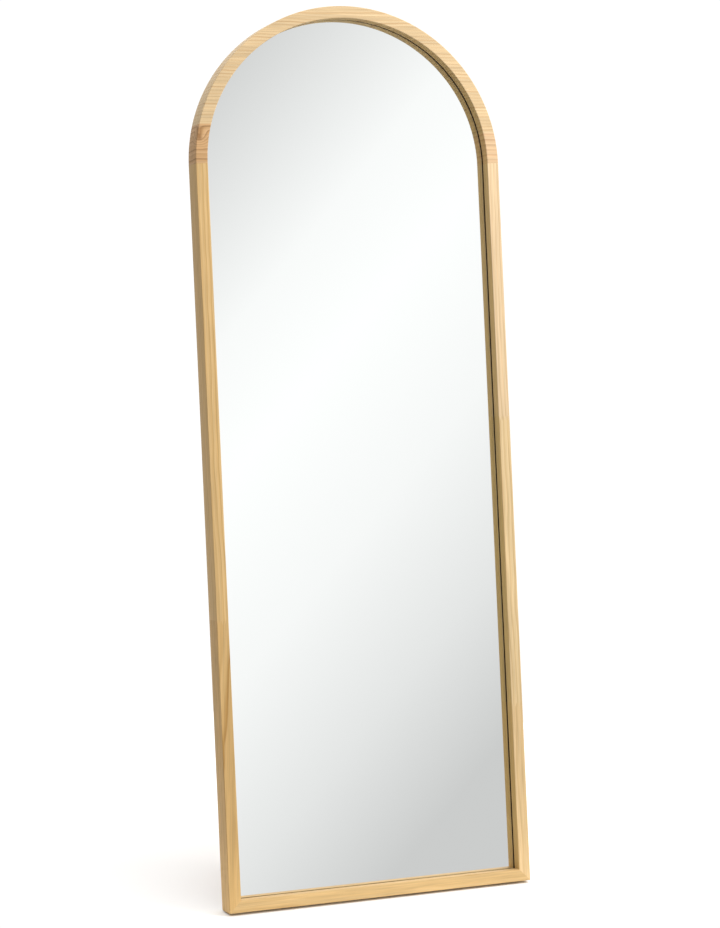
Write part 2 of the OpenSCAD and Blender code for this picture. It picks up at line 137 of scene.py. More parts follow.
def section():
    """The frame's cross-section as distances (inwards from the outer face, back from the front
    face). Its level sides get a point wherever the fingers of a joint turn, sorted in by the
    number of the side plus how far along it the point lies."""
    outline = rounded(
        [(0, 0), (FACE, 0), (FACE, WALL), (BACK_W, WALL), (BACK_W, DEPTH), (0, DEPTH)],
        np.array([ARRIS, ARRIS, 0.4 * MM, 0, 0.6 * MM, 0.8 * MM]))
    span, rise = (np.roll(outline, -1, 0) - outline).T[:, :, None]
    level = np.isclose(rise, 0, atol=1e-7) & (np.abs(span) > FINGER_PITCH)
    turns = FACE + 2 * MM - np.arange(12) * FINGER_PITCH / 2
    part = (turns - outline[:, :1]) / np.where(level, span, 1)
    clear = 0.2 * MM / np.abs(np.where(level, span, 1))
    side, turn = np.nonzero(level & (part > clear) & (part < 1 - clear))
    points = np.concatenate([outline, np.stack([turns[turn], outline[side, 1]], 1)])
    return points[np.argsort(np.concatenate([np.arange(len(outline)), side + part[side, turn]]))]


def filled(outline):
    """Triangles that fill a closed outline (first, second)."""
    return tessellate_polygon([np.pad(outline, ((0, 0), (0, 1))).tolist()])


def section_fill():
    """Triangles that fill the cross-section, for the ends of its pieces. Its level sides are bent
    in a little first, so that no triangle has all three corners on one side."""
    inwards, depth = section().T
    for level, way in ((0, 1), (WALL, -1), (DEPTH, -1)):
        on = np.isclose(depth, level)
        part = (inwards[on] - inwards[on].min()) / np.ptp(inwards[on])
        depth[on] += way * 0.3 * MM * 4 * part * (1 - part)
    return filled(np.stack([inwards, depth], 1))


def finger_edge(middle):
    """The height of a finger joint across the stile: a triangle wave of the distance inwards."""
    def edge(inwards, depth):
        phase = (FACE + 2 * MM - inwards) / (FINGER_PITCH / 2)
        return middle + (np.abs((phase + 1) % 2 - 1) - 0.5) * FINGER_LENGTH
    return edge


def straight_edge(height):
    """The height of a joint that is sawn straight across."""
    return lambda inwards, depth: np.full_like(inwards, height)


def mitre_edge(inwards, depth):
    """The height of the mitre, which is the distance inwards, no lower than the planed sole."""
    return np.maximum(inwards, (depth - DEPTH + SOLE) * math.tan(LEAN))


def stile(name, side, low_edge, high_edge, material):
    """The section carried straight up between two joints."""
    inwards, depth = section().T
    t = np.linspace(0, 1, 40)[:, None]
    up = low_edge(inwards, depth) * (1 - t) + high_edge(inwards, depth) * t
    shell = leaning(side * (HALF_W - inwards), depth, up)
    return new_piece(name, [shell], material, section_fill())


def level_cut(side, height):
    """The angle round the arch at which each line of the section meets a level cut."""
    def cut(inwards):
        angle = np.arcsin(height / (RISE - inwards))
        return angle if side > 0 else np.pi - angle
    return cut


def arch_piece(name, first, last, rows, material):
    """The section carried round the half-ellipse between two cuts: across is the half width
    times the cosine of an angle, and up is the rise times its sine."""
    inwards, depth = section().T
    t = np.linspace(0, 1, rows)[:, None]
    angle = first(inwards) * (1 - t) + last(inwards) * t
    across, up = (HALF_W - inwards) * np.cos(angle), SPRING + (RISE - inwards) * np.sin(angle)
    return new_piece(name, [leaning(across, depth, up)], material, section_fill())


def bottom_rail_piece(name, material):
    """The section turned on its side and carried along the base between the two mitres. Its
    outer back edge is planed off level, to the height of the sole."""
    inwards, depth = section().T
    up = mitre_edge(inwards, depth)
    across = np.linspace(-1, 1, 40)[:, None] * (HALF_W - up)
    return new_piece(name, [leaning(across, depth, up)], material, section_fill())


def linear(hex_colour):
    """An sRGB hex colour as linear red, green, blue and alpha."""
    parts = np.array([int(hex_colour[i:i + 2], 16) / 255 for i in (0, 2, 4)])
    return (*np.where(parts <= 0.04045, parts / 12.92, ((parts + 0.055) / 1.055) ** 2.4), 1.0)


def feed(node, **inputs):
    """Sets or links a node's inputs. A name such as in0 stands for an input by number."""
    for key, value in inputs.items():
        number = key[2:] if key[:2] == "in" else ""
        socket = node.inputs[int(number) if number.isdigit() else key.replace("_", " ")]
        if isinstance(value, bpy.types.NodeSocket):
            node.id_data.links.new(value, socket)
        else:
            socket.default_value = value


def add(tree, kind, settings=None, stops=(), **inputs):
    """Adds a node, with its properties, its colour stops as (place, colour), and its inputs."""
    node = tree.nodes.new("ShaderNode" + kind)
    for key, value in (settings or {}).items():
        setattr(node, key, value)
    for _ in stops[2:]:
        node.color_ramp.elements.new(0.5)
    for i, (place, colour) in enumerate(stops):
        node.color_ramp.elements[i].position = place
        node.color_ramp.elements[i].color = colour
    feed(node, **inputs)
    return node


def new_material(name):
    """An empty node material with its surface shader, which is returned with the tree."""
    material = bpy.data.materials.new(name)
    material.use_nodes = True
    tree = material.node_tree
    return material, tree, tree.nodes["Principled BSDF"]


SMOOTH, RGBA = {"interpolation_type": "SMOOTHSTEP"}, {"data_type": "RGBA"}
PLUS, MINUS, TIMES = ({"operation": word} for word in ("ADD", "SUBTRACT", "MULTIPLY"))
# Almost all of a noise lies between these values
NOISE = {"From_Min": 0.3, "From_Max": 0.7}


def lacquered_fir(name, grain, colours, ring, heart, seed, wander=0.02, slope=0.0, knot=None):
    """Planed fir under satin lacquer. Growth rings are cylinders round a heart that wanders along
    the grain. Each ring goes from pale earlywood to a narrow darker line of latewood, some lines
    are fainter than others, and fine fibres run over everything. Ring and heart are in mm."""
    earlywood, middle, latewood = map(linear, colours)
    material, tree, shader = new_material("lacquered_fir_" + name)
    place = add(tree, "TexCoord").outputs["Object"]
    level = add(tree, "Mapping", Vector=place, Rotation=(LEAN, 0, 0)).outputs[0]
    turn = slope if grain == "Z" else slope - math.pi / 2
    offset = (seed * 0.137, seed * 0.071, seed * 0.311)
    board = add(tree, "Mapping", Vector=level, Rotation=(0, turn, 0), Location=offset).outputs[0]
    # The heart wanders slowly, over about a third of a metre of length
    drift = add(tree, "Mapping", Vector=board, Scale=(5, 5, 2.6)).outputs[0]
    drift = add(tree, "TexNoise", Vector=drift, Scale=1.0, Detail=3.0).outputs["Color"]
    drift = add(tree, "VectorMath", MINUS, in0=drift, in1=(0.5, 0.5, 0.5)).outputs[0]
    drift = add(tree, "VectorMath", TIMES, in0=drift, in1=(wander, wander, 0)).outputs[0]
    to_heart = (heart[0] * MM - offset[0], heart[1] * MM - offset[1], 0)
    across = add(tree, "VectorMath", TIMES, in0=board, in1=(1, 1, 0)).outputs[0]
    across = add(tree, "VectorMath", PLUS, in0=across, in1=drift).outputs[0]
    across = add(tree, "VectorMath", PLUS, in0=across, in1=to_heart).outputs[0]
    radius = add(tree, "VectorMath", {"operation": "LENGTH"}, in0=across).outputs["Value"]
    if knot is not None:
        knot_far = add(tree, "VectorMath", {"operation": "DISTANCE"}, in0=place, in1=knot)
        bulge = add(tree, "MapRange", SMOOTH, Value=knot_far.outputs["Value"], From_Min=0.0,
                    From_Max=26 * MM, To_Min=20 * MM, To_Max=0.0).outputs[0]
        radius = add(tree, "Math", PLUS, in0=radius, in1=bulge).outputs[0]
    count = add(tree, "Math", {"operation": "DIVIDE"}, in0=radius, in1=ring * MM).outputs[0]
    phase = add(tree, "Math", {"operation": "FRACT"}, in0=count).outputs[0]
    rings = add(tree, "ValToRGB", Fac=phase, stops=[
        (0.0, earlywood), (0.5, middle), (0.86, latewood), (1.0, earlywood)]).outputs[0]
    number = add(tree, "Math", {"operation": "FLOOR"}, in0=count).outputs[0]
    chance = add(tree, "TexWhiteNoise", {"noise_dimensions": "1D"}, W=number).outputs["Value"]
    strong = add(tree, "MapRange", Value=chance, To_Min=0.1, To_Max=1.0).outputs[0]
    rings = add(tree, "Mix", RGBA, Factor=strong, in6=middle, in7=rings).outputs[2]
    # Fibres 0.5 mm wide and 40 mm long, lines 1.8 mm wide and streaks 9 mm wide: the scale across
    # and along the grain, the detail, and the darkest and palest shade of each
    shade, patterns = 1.0, []
    for wide, along, detail, dark, pale in ((1900, 25, 3.0, 0.95, 1.04), (560, 12, 2.0, 0.86, 1.07),
                                            (110, 4, 4.0, 0.9, 1.06)):
        drawn = add(tree, "Mapping", Vector=board, Scale=(wide, wide, along)).outputs[0]
        drawn = add(tree, "TexNoise", Vector=drawn, Scale=1.0, Detail=detail).outputs["Fac"]
        tone = add(tree, "MapRange", Value=drawn, **NOISE, To_Min=dark, To_Max=pale).outputs[0]
        shade = add(tree, "Math", TIMES, in0=shade, in1=tone).outputs[0]
        patterns.append(drawn)
    fibre = patterns[0]
    colour = add(tree, "VectorMath", {"operation": "SCALE"}, in0=rings, Scale=shade).outputs[0]
    if knot is not None:
        core = add(tree, "MapRange", SMOOTH, Value=knot_far.outputs["Value"], From_Min=1.5 * MM,
                   From_Max=9 * MM, To_Min=0.7, To_Max=0.0).outputs[0]
        colour = add(tree, "Mix", RGBA, Factor=core, in6=colour, in7=linear("8E6238")).outputs[2]
    # Painted shade: the inner wall in front of the glass is darkened and turned more golden, in
    # place of the shade and the warm bounced light that fall there
    shaded_recess = add(tree, "Attribute", {"attribute_name": "shaded_recess"}).outputs["Fac"]
    thick = add(tree, "VectorMath", TIMES, in0=colour, in1=(0.86, 0.79, 0.54)).outputs[0]
    colour = add(tree, "Mix", RGBA, Factor=shaded_recess, in6=colour, in7=thick).outputs[2]
    gloss = add(tree, "MapRange", Value=fibre, **NOISE, To_Min=0.6, To_Max=0.46).outputs[0]
    relief = add(tree, "Bump", Height=fibre, Strength=0.1, Distance=0.4 * MM).outputs[0]
    feed(shader, Base_Color=colour, Roughness=gloss, Normal=relief, Specular_IOR_Level=0.2,
         Coat_Weight=0.03, Coat_Roughness=0.35)
    return material


LEFT_JOINT, RIGHT_LOW_JOINT, RIGHT_HIGH_JOINT = 543 * MM, 344 * MM, 903 * MM
LEFT_SHOULDER, RIGHT_SHOULDER = 74 * MM, 60 * MM
knot_place = leaning(-HALF_W + 8 * MM, 0, SPRING + 48 * MM)

wood_pieces = {
    "left_stile_lower": stile(
        "fir_left_stile_lower", -1, mitre_edge, finger_edge(LEFT_JOINT),
        lacquered_fir("left_lower", "Z", ("DEB980", "D5AE72", "AF8140"), 7.0,
                      (360, 45), 1.0, wander=0.035, slope=-0.05)),
    "left_stile_upper": stile(
        "fir_left_stile_upper", -1, finger_edge(LEFT_JOINT), straight_edge(SPRING),
        lacquered_fir("left_upper", "Z", ("E5C38C", "DBB67C", "C09556"), 5.5,
                      (400, 45), 2.0)),
    "right_stile_lower": stile(
        "fir_right_stile_lower", 1, mitre_edge, finger_edge(RIGHT_LOW_JOINT),
        lacquered_fir("right_lower", "Z", ("E4C595", "DEBE8C", "CBA46D"), 6.0,
                      (-380, 50), 3.0)),
    "right_stile_middle": stile(
        "fir_right_stile_middle", 1, finger_edge(RIGHT_LOW_JOINT), finger_edge(RIGHT_HIGH_JOINT),
        lacquered_fir("right_middle", "Z", ("E9CE9F", "E4C796", "CDA873"), 5.5,
                      (-410, 40), 4.0)),
    "right_stile_upper": stile(
        "fir_right_stile_upper", 1, finger_edge(RIGHT_HIGH_JOINT), straight_edge(SPRING),
        lacquered_fir("right_upper", "Z", ("ECD0A6", "E7CAA0", "D6B283"), 5.0,
                      (-410, 60), 5.0)),
    "left_shoulder": arch_piece(
        "fir_left_shoulder", level_cut(-1, 0), level_cut(-1, LEFT_SHOULDER), 24,
        lacquered_fir("left_shoulder", "X", ("DCB384", "D0A573", "A67B4D"), 9.0,
                      (-2750, 35), 6.0, wander=0.03, knot=tuple(knot_place))),
    "right_shoulder": arch_piece(
        "fir_right_shoulder", level_cut(1, 0), level_cut(1, RIGHT_SHOULDER), 24,
        lacquered_fir("right_shoulder", "X", ("ECCDA2", "E5C195", "C4946C"), 10.0,
                      (-2755, 50), 7.0)),
    "arch_crown": arch_piece(
        "fir_arch_crown", level_cut(1, RIGHT_SHOULDER), level_cut(-1, LEFT_SHOULDER), 150,
        lacquered_fir("crown", "X", ("E6CA9F", "E0C294", "CBA473"), 6.3,
                      (-3100, 25), 8.0, wander=0.03)),
    "bottom_rail": bottom_rail_piece(
        "fir_bottom_rail",
        lacquered_fir("bottom_rail", "X", ("DCBB87", "D5B27B", "BB9152"), 7.0,
                      (70, 50), 9.0, wander=0.035)),
}
for node_name, piece in wood_pieces.items():
    take_place(piece, node_name, "frame")
    # Marks the inner wall of each piece for the painted shade; the bottom rail's inner wall faces
    # up into the light and gets none
    if node_name != "bottom_rail":
        in_shaded_recess = np.isclose(section()[:, 0], FACE).astype(float)
        attribute = piece.data.attributes.new("shaded_recess", "FLOAT", "POINT")
        attribute.data.foreach_set("value", np.resize(in_shaded_recess, len(piece.data.vertices)))


# ---- The dowels inside the joints --------------------------------------------
# Fluted beech dowels glued into the mitres, the springing line and the stand. They stay raw, and
# only show when the frame is taken apart.

def planed_beech(name, grain, tilt, colours, coat, seed=0.0):
    """Planed beech: a pale, even ground with short dark flecks, where its rays are cut through,
    about 2 mm long and 0.4 mm wide, over soft streaks about 12 mm wide."""
    material, tree, shader = new_material(name)
    place = add(tree, "TexCoord").outputs["Object"]
    level = add(tree, "Mapping", Vector=place, Rotation=(tilt, 0, 0),
                Location=(seed, 0, seed)).outputs[0]
    patterns = []
    for wide, along, detail in ((2500, 450, 1.0), (85, 4, 3.0), (1400, 18, 2.0)):
        scale = (wide, wide, along) if grain == "Z" else (along, wide, wide)
        drawn = add(tree, "Mapping", Vector=level, Scale=scale).outputs[0]
        drawn = add(tree, "TexNoise", Vector=drawn, Scale=1.0, Detail=detail).outputs["Fac"]
        patterns.append(drawn)
    fleck, streak, fibre = patterns
    pale, dark, ray = map(linear, colours)
    ground = add(tree, "ValToRGB", Fac=streak, stops=[(0.3, pale), (0.7, dark)]).outputs[0]
    flecks = add(tree, "MapRange", Value=fleck, From_Min=0.62, From_Max=0.7, To_Min=0.0,
                 To_Max=0.45).outputs[0]
    colour = add(tree, "Mix", RGBA, Factor=flecks, in6=ground, in7=ray).outputs[2]
    shade = add(tree, "MapRange", Value=fibre, **NOISE, To_Min=0.95, To_Max=1.04).outputs[0]
    colour = add(tree, "VectorMath", {"operation": "SCALE"}, in0=colour, Scale=shade).outputs[0]
    gloss = add(tree, "MapRange", Value=fibre, **NOISE, To_Min=0.6, To_Max=0.45).outputs[0]
    relief = add(tree, "Bump", Height=fibre, Strength=0.08, Distance=0.3 * MM).outputs[0]
    feed(shader, Base_Color=colour, Roughness=gloss, Normal=relief, Coat_Weight=coat,
         Coat_Roughness=0.35)
    return material


def finish_node(node_name, material):
    """Gives a CAD node its finish."""
    node_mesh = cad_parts[node_name].data
    node_mesh.materials.clear()
    node_mesh.materials.append(material)


raw_beech = planed_beech("raw_beech_dowel", "Z", LEAN, ("D2AE7E", "C39D6C", "9A7247"), 0.0)
for node_name in ("mitre_dowels", "springing_dowels", "stand_dowels"):
    finish_node(node_name, raw_beech)


# ---- The mirror glass --------------------------------------------------------
# 4 mm float glass, silvered and painted on its back and ground with a fine seam on its edges.
# It lies in the rebate on a foam tape behind the lip of the frame, the tape coloured dark as
# painted shadow.

GLASS_FRONT, GLASS_BACK, PANEL_BACK = 22 * MM, 26 * MM, 29 * MM
GLASS_INSET = BACK_W + 2 * MM
SEAM = 0.5 * MM


def sheet_piece(name, front, back, seam, material, steps=160):
    """A flat sheet in the rebate between two depths, its rims ground off at 45 degrees. Its
    outlines go up the right side, over the half-ellipse and down the left side."""
    inset = GLASS_INSET + np.array([[seam], [0], [0], [seam]])
    depth = np.array([[front], [front + seam], [back - seam], [back]])
    angle = np.pad(np.linspace(0, np.pi, steps), 1, mode="edge")
    across, up = (HALF_W - inset) * np.cos(angle), SPRING + (RISE - inset) * np.sin(angle)
    up[:, [0, -1]] = inset
    return new_piece(name, [leaning(across, depth, up)], material)


silver, tree, shader = new_material("silvered_float_glass")
haze = add(tree, "TexNoise", Vector=add(tree, "TexCoord").outputs["Object"], Scale=3.0, Detail=2.0)
dull = add(tree, "MapRange", Value=haze.outputs["Fac"], To_Min=0.0, To_Max=0.012).outputs[0]
feed(shader, Base_Color=linear("F4F6F5"), Metallic=1.0, Roughness=dull)

# Glass makes its silvered back look nearer than it is, by a third of its thickness
APPARENT_SILVER = GLASS_FRONT + 2.6 * MM
glass = sheet_piece("silvered_glass", APPARENT_SILVER, GLASS_BACK, SEAM, silver)
take_place(glass, "mirror_glass", "frame")


# ---- The cushion tape --------------------------------------------------------
# Closed-cell foam, 1 mm thick and stuck to the lip, so that the glass doesn't rattle. It is
# coloured dark brown as painted shadow, in place of the shade in the gap between the lip and the
# glass. Its cells are under a millimetre across and leave a dull, pitted skin.

foam, tree, shader = new_material("closed_cell_foam_painted_shadow")
place = add(tree, "TexCoord").outputs["Object"]
cells = add(tree, "TexVoronoi", Vector=place, Scale=1600.0).outputs["Distance"]
skin = add(tree, "ValToRGB", Fac=cells, stops=[(0.0, linear("261A0E")), (0.6, linear("463419"))])
pits = add(tree, "Bump", Height=cells, Strength=0.4, Distance=0.3 * MM).outputs[0]
feed(shader, Base_Color=skin.outputs[0], Normal=pits, Roughness=0.9)
finish_node("cushion_tape", foam)


# ---- The backing panel -------------------------------------------------------
# 3 mm brown hardboard: wood fibre pressed hard, its smooth face outwards. The fibre shows as dark
# and pale flecks a millimetre or two long, and the press leaves broad paler clouds.

hardboard, tree, shader = new_material("pressed_hardboard")
place = add(tree, "TexCoord").outputs["Object"]
flecks = add(tree, "TexNoise", Vector=place, Scale=700.0, Detail=4.0, Roughness=0.7).outputs["Fac"]
clouds = add(tree, "TexNoise", Vector=place, Scale=9.0, Detail=3.0).outputs["Fac"]
mottle = add(tree, "Mix", Factor=0.3, in2=flecks, in3=clouds).outputs[0]
brown = add(tree, "ValToRGB", Fac=mottle, stops=[
    (0.32, linear("6B4A2C")), (0.5, linear("8D6640")), (0.68, linear("A67F55"))]).outputs[0]
gloss = add(tree, "MapRange", Value=flecks, **NOISE, To_Min=0.42, To_Max=0.62).outputs[0]
relief = add(tree, "Bump", Height=flecks, Strength=0.15, Distance=0.3 * MM).outputs[0]
feed(shader, Base_Color=brown, Roughness=gloss, Normal=relief)
panel = sheet_piece("hardboard_panel", GLASS_BACK, PANEL_BACK, 0.3 * MM, hardboard)
take_place(panel, "backing_panel", "frame")


# ---- The retaining clips -----------------------------------------------------
# Strips of 1.2 mm zinc-plated steel bent in a Z, one tab screwed to the frame and the other
# holding the panel. Zinc plate is a cool bright grey with cloudy crystals a few mm across.

def zinc_plate(name, bright, dim, cloud):
    """Bright zinc plate: a metal whose brightness and sheen drift in clouds, with fine brushing."""
    material, tree, shader = new_material(name)
    place = add(tree, "TexCoord").outputs["Object"]
    clouds = add(tree, "TexNoise", Vector=place, Scale=cloud, Detail=5.0, Roughness=0.65)
    clouds = clouds.outputs["Fac"]
    scuffs = add(tree, "TexNoise", Vector=place, Scale=2600.0, Detail=2.0).outputs["Fac"]
    low, high = 0.35, 0.65
    colour = add(tree, "ValToRGB", Fac=clouds, stops=[(low, linear(dim)), (high, linear(bright))])
    gloss = add(tree, "MapRange", Value=clouds, From_Min=low, From_Max=high, To_Min=0.42,
                To_Max=0.28).outputs[0]
    relief = add(tree, "Bump", Height=scuffs, Strength=0.08, Distance=0.2 * MM).outputs[0]
    feed(shader, Base_Color=colour.outputs[0], Roughness=gloss, Normal=relief, Metallic=1.0)
    return material


zinc_sheet = zinc_plate("zinc_plated_sheet", "CFD2D4", "AEB3B7", 260.0)
zinc_screws = zinc_plate("zinc_plated_screws", "D8DADB", "B4B7B9", 500.0)


def drawn_in(outline, by):
    """Copies of a closed outline moved inwards: each corner goes along the sum of the normals of
    its two sides, until it is the same distance from both."""
    (x, y), (next_x, next_y) = outline.T, np.roll(outline, -1, 0).T
    ahead = np.stack([next_x - x, next_y - y], 1)
    ahead /= np.linalg.norm(ahead, axis=1)[:, None]
    turning = np.sign(np.sum(x * next_y - y * next_x))
    normal = np.stack([-ahead[:, 1], ahead[:, 0]], 1) * turning
    both = normal + np.roll(normal, 1, 0)
    return outline + by[:, None, None] * 2 * both / np.sum(both * both, 1)[:, None]


def prism(outline, start, end, ease, steps=3):
    """A closed outline (first, second) carried from start to end along the third direction. The
    rims are quarter circles: drawn in by 1 - sin and moved along by 1 - cos of their angle."""
    turn = np.linspace(0, math.pi / 2, steps + 1)
    inset, along = ease * (1 - np.sin(turn)), ease * (1 - np.cos(turn))
    first, second = drawn_in(outline, np.concatenate([inset, inset[::-1]])).transpose(2, 0, 1)
    return first, second, np.concatenate([start + along, end - along[::-1]])[:, None]


CLIP_T, CLIP_W, SCREW_EDGE, CLIP_GAP = 1.2 * MM, 14 * MM, 4.5 * MM, 0.3 * MM
CLIP_END, CLIPS_A_STILE = 170 * MM, 4
bends = [(2 * SCREW_EDGE, DEPTH), (2 * SCREW_EDGE, DEPTH + CLIP_T),
         (-CLIP_T - CLIP_GAP, DEPTH + CLIP_T), (-CLIP_T - CLIP_GAP, PANEL_BACK + CLIP_T),
         (-REBATE - SCREW_EDGE, PANEL_BACK + CLIP_T), (-REBATE - SCREW_EDGE, PANEL_BACK),
         (-CLIP_GAP, PANEL_BACK), (-CLIP_GAP, DEPTH)]
clip_profile = rounded(bends, np.array([0.3, 0.3, 1.6, 0.4, 0.3, 0.3, 1.6, 0.4]) * MM, 3)

clip_places = [((HALF_W - BACK_W) * math.cos(side), up, side) for side in (0, math.pi)
               for up in np.linspace(CLIP_END, SPRING - CLIP_END, CLIPS_A_STILE)]
for angle in np.radians(np.arange(30, 151, 30)):
    wide, tall = HALF_W - BACK_W, RISE - BACK_W
    clip_places.append((wide * math.cos(angle), SPRING + tall * math.sin(angle),
                        math.atan2(wide * math.sin(angle), tall * math.cos(angle))))
clip_places += [(across, BACK_W, -math.pi / 2) for across in (-HALF_W * 0.4, HALF_W * 0.4)]


def turned(place, out, depth, along):
    """Points (outwards, depth, along the edge) put at a place whose outward direction is turned
    by its angle in the frame's plane."""
    c, s = math.cos(place[2]), math.sin(place[2])
    return leaning(place[0] + out * c - along * s, depth, place[1] + out * s + along * c)


clip_out, clip_depth, clip_along = prism(clip_profile, -CLIP_W / 2, CLIP_W / 2, 0.2 * MM)
clips = new_piece("bent_retaining_clips", [turned(place, clip_out, clip_depth, clip_along)
                                           for place in clip_places], zinc_sheet)
take_place(clips, "retaining_clips", "frame")


# ---- The screws --------------------------------------------------------------
# Zinc-plated pan-head wood screws with a cross recess, driven from behind through the clips, the
# braces, the brackets and the hanger plates into the wood.

# The radius of the shank and of the head, and the height of the head
PAN_HEAD = (1.6 * MM, 3.2 * MM, 1.8 * MM)


def screw_rings(length, shank_r, head_r, head_h):
    """A screw as rings of (radius, height): a domed head, whose height falls by the fourth power
    of the radius, its flat underside, the shank and the point. In the arms of a cross, narrower
    towards the rim, the head is sunk by two thirds of its height."""
    turn = np.linspace(0, 2 * np.pi, 32, endpoint=False)
    dome_r = head_r * np.array([0.05, 0.14, 0.2, 0.32, 0.45, 0.56, 0.62, 0.75, 0.88, 0.96, 1.0])
    dome_h = head_h * (1 - 0.55 * (dome_r / head_r) ** 4)
    radius = np.concatenate([dome_r, [head_r, shank_r, shank_r, 0.2 * shank_r]])
    height = np.concatenate([dome_h, [0, 0, 2.5 * shank_r - length, -length]])[:, None] + 0 * turn
    right, up = radius[:, None] * np.cos(turn), radius[:, None] * np.sin(turn)
    arm = np.minimum(np.abs(right), np.abs(up)) < head_r * 0.15
    sunk = arm & (radius[:, None] < head_r * 0.6) & (np.arange(len(radius))[:, None] < len(dome_r))
    return right, np.where(sunk, head_h * 0.34, height), up


def screws(name, places, depth, length, node_name, size=PAN_HEAD):
    """A screw at each (across, up) place, its head's underside at a depth."""
    right, height, up = screw_rings(length, *size)
    shells = [leaning(x + right, depth + height, z + up) for x, z in places]
    take_place(new_piece(name, shells, zinc_screws), node_name, "frame")


def both_sides(places):
    """The places of the right half and their mirror images."""
    return list(places) + [(-x, z) for x, z in places]


SCREW_IN, CLIP_SCREW_OUT = 16 * MM, SCREW_EDGE + CLIP_GAP
clip_screws = [(x + CLIP_SCREW_OUT * math.cos(angle), z + CLIP_SCREW_OUT * math.sin(angle))
               for x, z, angle in clip_places]
screws("clip_screws_pan_head", clip_screws, DEPTH + CLIP_T, SCREW_IN + CLIP_T, "clip_screws")


# ---- Corner braces and springing plates --------------------------------------
# Flat steel stampings, 1.5 mm thick and zinc-plated: an L across the back of each mitre, and a
# plate sawn to the line of the arch over each joint at its springing.

STRAP_T, STRAP_W, BRACE_ARM, PLATE_L = 1.5 * MM, 11 * MM, 70 * MM, 110 * MM
STRAP_MARGIN, STRAP_PITCH = 10 * MM, 26 * MM
strap_x = HALF_W - BACK_W / 2
outer, inner = strap_x + STRAP_W / 2, strap_x - STRAP_W / 2
low = (BACK_W - STRAP_W) / 2
brace_outline = rounded(
    [(outer - BRACE_ARM, low), (outer, low), (outer, low + BRACE_ARM), (inner, low + BRACE_ARM),
     (inner, low + STRAP_W), (outer - BRACE_ARM, low + STRAP_W)],
    np.array([3, 3, 3, 3, 2, 3]) * MM)


def arch_line(inset, low_end, high_end, steps=14):
    """A line at an inset, straight below the springing line and on the half-ellipse above it."""
    angle = np.linspace(0, math.asin(high_end / (RISE - inset)), steps)
    line = np.stack([(HALF_W - inset) * np.cos(angle), SPRING + (RISE - inset) * np.sin(angle)], 1)
    return np.concatenate([[[HALF_W - inset, SPRING + low_end]], line])


plate_outline = np.concatenate([arch_line(low, -PLATE_L / 2, PLATE_L / 2),
                                arch_line(low + STRAP_W, -PLATE_L / 2, PLATE_L / 2)[::-1]])


def straps(name, outline, node_name):
    """A flat stamping on the frame's back, and its mirror image."""
    across, up, depth = prism(outline, DEPTH, DEPTH + STRAP_T, 0.3 * MM)
    shells = [leaning(side * across, depth, up) for side in (1, -1)]
    take_place(new_piece(name, shells, zinc_sheet), node_name, "frame")


straps("stamped_corner_braces", brace_outline, "corner_braces")
straps("stamped_springing_plates", plate_outline, "springing_plates")

arm_screws = np.array([BRACE_ARM - STRAP_MARGIN, BRACE_ARM - STRAP_MARGIN - STRAP_PITCH])
brace_screws = [(strap_x, up) for up in BACK_W / 2 + arm_screws]
brace_screws += [(across, BACK_W / 2) for across in strap_x - arm_screws]
plate_screws = []
for above in (STRAP_MARGIN - PLATE_L / 2, -15 * MM, 15 * MM, PLATE_L / 2 - STRAP_MARGIN):
    around = math.sqrt(1 - (max(above, 0) / (RISE - BACK_W / 2)) ** 2)
    plate_screws.append(((HALF_W - BACK_W / 2) * around, SPRING + above))
screws("strap_screws_pan_head", both_sides(brace_screws + plate_screws), DEPTH + STRAP_T,
       SCREW_IN + STRAP_T, "plate_screws")


# ---- The pivot rail ----------------------------------------------------------
# A planed beech board across the back, screwed to both stiles. It stiffens the frame and carries
# the stand's brackets and the hanging rings.

RAIL_T, RAIL_H, RAIL_END, PIVOT_DROP = 18 * MM, 80 * MM, 7 * MM, 250 * MM
RAIL_BACK = DEPTH + RAIL_T
PIVOT_UP = SPRING - PIVOT_DROP
beech_colours = ("DDB889", "CFA676", "A0774A")
rail_beech = planed_beech("satin_beech_rail", "X", LEAN, beech_colours, 0.15, 0.4)


def rectangle(low, high, radii, steps=4):
    """A rectangle between two opposite corners, rounded."""
    return rounded([low, (high[0], low[1]), high, (low[0], high[1])], radii, steps)


rail_outline = rectangle((DEPTH, PIVOT_UP - RAIL_H / 2), (RAIL_BACK, PIVOT_UP + RAIL_H / 2),
                         np.array([0.4, 2.5, 2.5, 0.4]) * MM, 5)
depth, up, across = prism(rail_outline, RAIL_END - HALF_W, HALF_W - RAIL_END, 0.35 * MM)
take_place(new_piece("beech_pivot_rail", [leaning(across, depth, up)], rail_beech),
           "pivot_rail", "frame")

RAISED_HEAD, RAIL_SCREW_L, RAIL_SCREW_SUNK = (2 * MM, 3.5 * MM, 2.4 * MM), 34 * MM, 1.6 * MM
rail_screw_x, rail_screw_z = HALF_W - RAIL_END - RAISED_HEAD[1] - 0.5 * MM, 22 * MM
rail_screws = both_sides([(rail_screw_x, PIVOT_UP + z) for z in (-rail_screw_z, rail_screw_z)])
screws("rail_screws_raised_head", rail_screws, RAIL_BACK - RAIL_SCREW_SUNK, RAIL_SCREW_L,
       "rail_screws", RAISED_HEAD)


# ---- The pivot brackets ------------------------------------------------------
# Pressed from 2 mm zinc-plated steel: a back plate screwed to the rail, and a round-nosed cheek on
# each side of the leg, bored for the pivot bolt.

